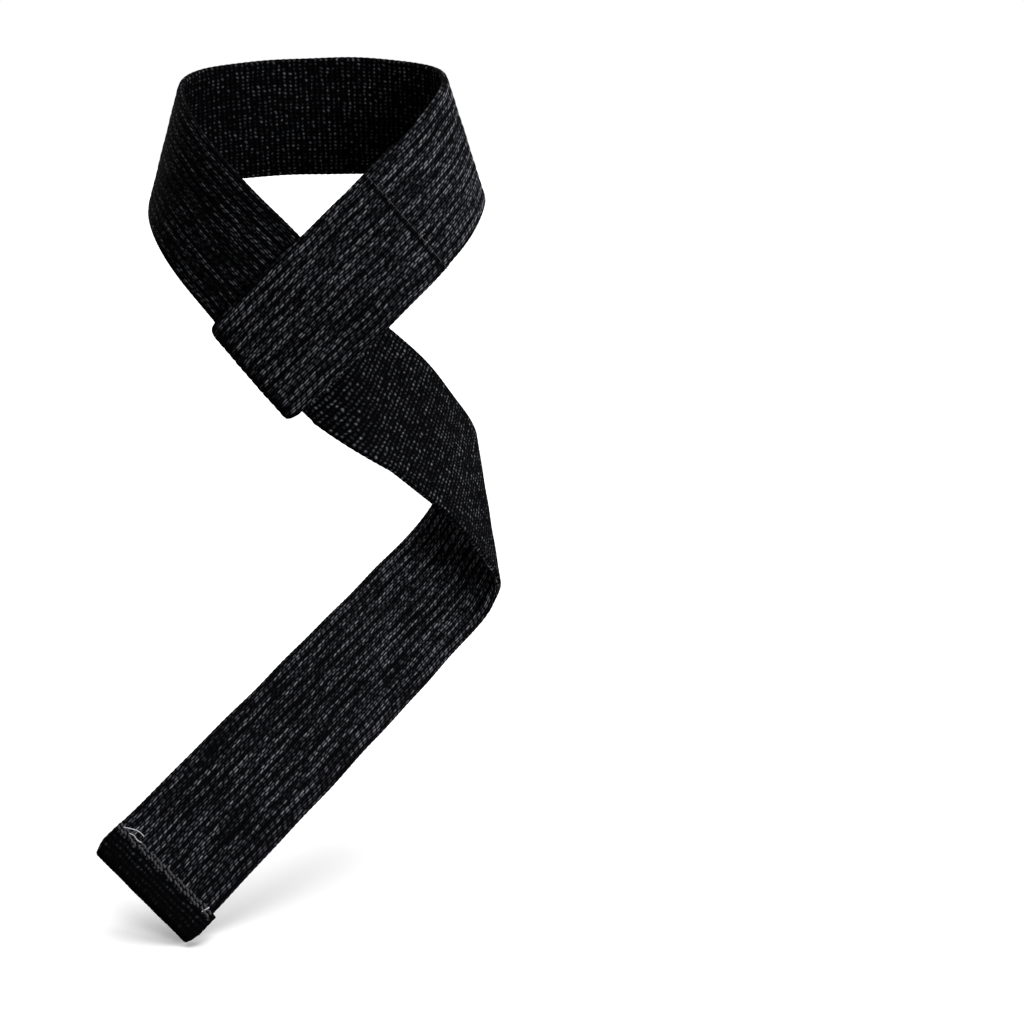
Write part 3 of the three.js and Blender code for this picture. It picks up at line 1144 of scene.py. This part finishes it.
@dataclass
class Sewing:
    """The rows of stitches at the seam and the hem, and the loose ends of thread by the hem."""

    path: StrapPath
    stitch: bpy.types.Material
    pale: bpy.types.Material
    seam_front: float = 1.8
    seam_back: float = -0.6
    seam_half: float = 18.2
    ridge_half: float = 18.8
    hem_half: float = 18.4
    stitch_lift: float = 0.08
    thread_lift: float = 0.25
    thin_thread: float = 0.14
    thick_thread: float = 0.18
    seam: Stitch = Stitch(2.3, 2.5, 0.15, 0.0)
    ridge: Stitch = Stitch(1.3, 1.35, 0.4, 0.7)

    def row(self, name: str, line: Line, half: float, kind: Stitch) -> bpy.types.Object:
        """Sews one row across the strap.

        Args:
            name: The piece's name.
            line: Gives the point for each distance across and each distance off the row.
            half: How far the row reaches each way.
            kind: The stitch.

        Returns:
            The row, one object.
        """
        made: list[bpy.types.Object] = []
        for number, middle in enumerate(np.arange(-half + kind.pitch / 2.0, half, kind.pitch)):
            wobble = 0.12 * kind.pitch * math.sin(2.3 * number)
            stray = 0.3 * kind.slant * math.sin(1.7 * number)
            reach = np.array([-0.5, 0.5])
            ends = line(middle + wobble + reach * kind.length, stray + reach * kind.slant)
            bpy.ops.object.select_all(action="DESELECT")
            bpy.ops.mesh.primitive_uv_sphere_add(segments=10, ring_count=8, radius=1.0)
            ball = bpy.context.object
            points = np.empty(len(ball.data.vertices) * 3)
            ball.data.vertices.foreach_get("co", points)
            points = points.reshape(-1, 3)
            ahead = ends[1] - ends[0]
            side = unit(np.cross(ahead, np.array([0.31, 0.17, 0.94])))
            up = unit(np.cross(side, ahead))
            radius = kind.radius * MM
            shaft = np.sign(points[:, 2:]) * np.abs(points[:, 2:]) ** 0.7
            moved = (ends[0] + ends[1]) / 2.0 + shaft * ahead / 2.0
            moved = moved + points[:, :1] * side * radius + points[:, 1:2] * up * radius
            ball.data.vertices.foreach_set("co", moved.reshape(-1).astype(np.float32))
            made.append(ball)
        bpy.ops.object.select_all(action="DESELECT")
        for ball in made:
            ball.select_set(True)
        bpy.context.view_layer.objects.active = made[0]
        bpy.ops.object.join()
        return self.dress(bpy.context.object, name, self.stitch)

    def dress(self, piece: bpy.types.Object, name: str, finish: bpy.types.Material) -> bpy.types.Object:
        """Names and shades a piece of thread, gives it its material and parents it to the root body.

        Args:
            piece: The piece.
            name: Its name.
            finish: Its material.

        Returns:
            The same piece.
        """
        piece.name = piece.data.name = name
        bpy.ops.object.mode_set(mode="EDIT")
        bpy.ops.mesh.select_all(action="SELECT")
        bpy.ops.mesh.normals_make_consistent(inside=False)
        bpy.ops.object.mode_set(mode="OBJECT")
        bpy.ops.object.shade_smooth()
        piece.data.materials.clear()
        piece.data.materials.append(finish)
        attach(piece, "root")
        return piece

    def loose_end(
        self, name: str, spots: list[tuple[float, float, float]], radius: float
    ) -> bpy.types.Object:
        """Lays a loose end of thread by the hem.

        Args:
            name: The piece's name.
            spots: Points as (along, across, out) in the hem's frame.
            radius: The thread's radius in millimetres.

        Returns:
            The thread.
        """
        along, across, out = (np.array(c) for c in zip(*spots))
        points = self.path.beside_hem(along, across, out)
        curve = bpy.data.curves.new(name, "CURVE")
        curve.dimensions = "3D"
        curve.bevel_depth = radius * MM
        curve.bevel_resolution = 2
        curve.use_fill_caps = True
        spline = curve.splines.new("NURBS")
        spline.points.add(len(points) - 1)
        for point, place in zip(spline.points, points):
            point.co = (*place, 1.0)
        spline.use_endpoint_u = True
        spline.order_u = 3
        thread = bpy.data.objects.new(name, curve)
        bpy.context.collection.objects.link(thread)
        bpy.ops.object.select_all(action="DESELECT")
        thread.select_set(True)
        bpy.context.view_layer.objects.active = thread
        bpy.ops.object.convert(target="MESH")
        return self.dress(bpy.context.object, name, self.pale)

    def seam_at(self, along: float, out: float) -> Line:
        """Returns what places a row of stitches on the seam."""
        return SeamLine(self.path, along, out).at

    def hem_at(self, along: float, out: float) -> Line:
        """Returns what places a row of stitches on the hem."""
        return HemLine(self.path, along, out).at

    def make(self) -> list[bpy.types.Object]:
        """Sews everything.

        Returns:
            The pieces of thread.
        """
        path, webbing = self.path, self.path.webbing
        face = webbing.thickness / 2.0 + self.stitch_lift
        under = float(path.flap_out(np.array([path.seam]))[0]) - face
        hem_face = webbing.thickness + webbing.sewn_gap + face
        front = self.seam_at(path.seam + self.seam_front, face)
        back = self.seam_at(path.seam + self.seam_back, under)
        rows = [
            self.row("seam_stitches_front", front, self.seam_half, self.seam),
            self.row("seam_stitches_back", back, self.seam_half, self.seam),
            self.row("hem_ridge_edge", self.hem_at(0.5, hem_face - 0.2), self.ridge_half, self.ridge),
            self.row("hem_ridge_low", self.hem_at(1.75, hem_face), self.ridge_half, self.ridge),
            self.row("hem_stitches_outer", self.hem_at(0.9, -face), self.hem_half, self.seam),
            self.row("hem_stitches_outer_low", self.hem_at(2.2, -face), self.hem_half, self.seam),
        ]
        lay = webbing.thickness / 2.0 + self.thread_lift
        ends = [
            self.loose_end(
                "thread_end_long",
                [
                    (0.8, -17.2, hem_face + 0.1),
                    (-0.3, -15.6, hem_face),
                    (-1.6, -14.2, lay + 1.0),
                    (-2.3, -12.6, lay + 0.2),
                    (-2.2, -11.2, lay),
                ],
                self.thin_thread,
            ),
            self.loose_end(
                "thread_end_edge",
                [
                    (0.9, -14.8, hem_face + 0.1),
                    (0.2, -13.2, hem_face + 0.3),
                    (0.9, -11.6, hem_face + 0.2),
                    (0.2, -10.2, hem_face),
                ],
                self.thin_thread,
            ),
            self.loose_end(
                "thread_end_short",
                [(2.2, 16.3, hem_face), (0.9, 16.8, hem_face + 0.3), (-0.2, 17.0, hem_face)],
                self.thick_thread,
            ),
        ]
        return rows + ends


@dataclass
class Strap:
    """The whole strap: four stretches of webbing and their sewing."""

    path: StrapPath = field(default_factory=StrapPath)

    def make(self) -> list[bpy.types.Object]:
        """Builds and dresses every piece, and hides the imported solids that they stand in for.

        Returns:
            The pieces.
        """
        maker = WebbingMaker(self.path.webbing, CottonWebbing().make())
        band, loop, tail, hem = self.path.stretches()
        made = {s.name: maker.make(s) for s in (band, loop, tail, hem)}
        for stretch, node, rests in (
            (band, "wrist_band", "sewn_loop_webbing"),
            (loop, "sewn_loop", "wrist_webbing"),
            (tail, "tail", "sewn_loop_webbing"),
            (hem, "tail_hem", "tail_webbing"),
        ):
            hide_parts(node)
        pale = Thread("pale thread end", (0.16, 0.16, 0.165), (0.42, 0.42, 0.43))
        sewing = Sewing(self.path, Thread().make(), pale.make())
        return [*made.values(), *sewing.make()]


@dataclass(frozen=True)
class SoftLight:
    """A soft light from far away: degrees round and up, strength, and width in degrees."""

    name: str
    turn: float
    height: float
    strength: float
    spread: float


@dataclass(frozen=True)
class Studio:
    """The floor, the light and the camera."""

    aim: tuple[float, float, float] = (2.07, 10.76, -92.14)
    elevation: float = 12.0
    distance: float = 600.0
    focal_pixels: float = 1833.0
    centre_pixel: tuple[float, float] = (313.0, 498.0)
    frame_pixels: float = 1024.0
    fill: float = 0.3
    floor_size: float = 14.0
    floor_gap: float = 0.0004
    lights: tuple[SoftLight, ...] = (
        SoftLight("key", 44.0, 14.0, 4.2, 25.0),
        SoftLight("top", 150.0, 75.0, 3.4, 50.0),
        SoftLight("rim", 98.0, 12.0, 1.8, 20.0),
        SoftLight("back", 215.0, 28.0, 1.6, 30.0),
    )

    def camera(self) -> None:
        """Places the camera at the photograph's viewing angle."""
        lean = math.radians(self.elevation)
        x, y, z = self.aim
        data = bpy.data.cameras.new("camera")
        data.sensor_width = 36.0
        data.lens = self.focal_pixels / self.frame_pixels * data.sensor_width
        data.shift_x = 0.5 - self.centre_pixel[0] / self.frame_pixels
        data.shift_y = self.centre_pixel[1] / self.frame_pixels - 0.5
        data.clip_start, data.clip_end = 0.02, 40.0
        camera = bpy.data.objects.new("camera", data)
        back, up = self.distance * math.cos(lean), self.distance * math.sin(lean)
        camera.location = (x * MM, (y - back) * MM, (z + up) * MM)
        camera.rotation_euler = (math.pi / 2.0 - lean, 0.0, 0.0)
        bpy.context.collection.objects.link(camera)
        bpy.context.scene.camera = camera

    def floor(self, height: float) -> None:
        """Lays the floor.

        Args:
            height: How high it lies, in metres.
        """
        bpy.ops.object.select_all(action="DESELECT")
        bpy.ops.mesh.primitive_plane_add(size=self.floor_size, location=(0.0, 0.0, 0.0))
        floor = bpy.context.object
        floor.name = "floor"
        for vertex in floor.data.vertices:
            vertex.co.z = height
        floor.data.materials.append(StudioFloor().make())
        floor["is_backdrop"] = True

    def light(self, lamp: SoftLight) -> None:
        """Adds a soft light from far away.

        Args:
            lamp: The light.
        """
        data = bpy.data.lights.new(lamp.name, "SUN")
        data.energy, data.angle = lamp.strength, math.radians(lamp.spread)
        placed = bpy.data.objects.new(lamp.name, data)
        placed.rotation_euler = (math.radians(90.0 - lamp.height), 0.0, math.radians(lamp.turn))
        bpy.context.collection.objects.link(placed)

    def surroundings(self) -> None:
        """Makes the air round the strap: white to look at, and a weak even light on the strap."""
        world = bpy.data.worlds.new("studio")
        world.use_nodes = True
        tree = world.node_tree
        background = tree.nodes["Background"]
        background.inputs["Color"].default_value = (1.0, 1.0, 1.0, 1.0)
        path = tree.nodes.new("ShaderNodeLightPath")
        strength = Node(tree, path.outputs["Is Camera Ray"]).times(1.0 - self.fill, self.fill)
        tree.links.new(strength.socket, background.inputs["Strength"])
        bpy.context.scene.world = world
        bpy.context.scene.view_settings.view_transform = "Standard"

    def make(self, lowest: float) -> None:
        """Sets up the studio round the strap.

        Args:
            lowest: The strap's lowest point, in metres.
        """
        self.camera()
        self.floor(lowest - self.floor_gap)
        self.surroundings()
        for lamp in self.lights:
            self.light(lamp)


def main() -> None:
    """Builds the strap and its studio."""
    logging.basicConfig(level=logging.INFO, format="%(message)s")
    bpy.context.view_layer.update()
    pieces = Strap().make()
    for piece in pieces:
        log.info("%s: %d faces", piece.name, len(piece.data.polygons))
    Studio().make(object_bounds()[0].z)


if __name__ == "__main__":
    main()
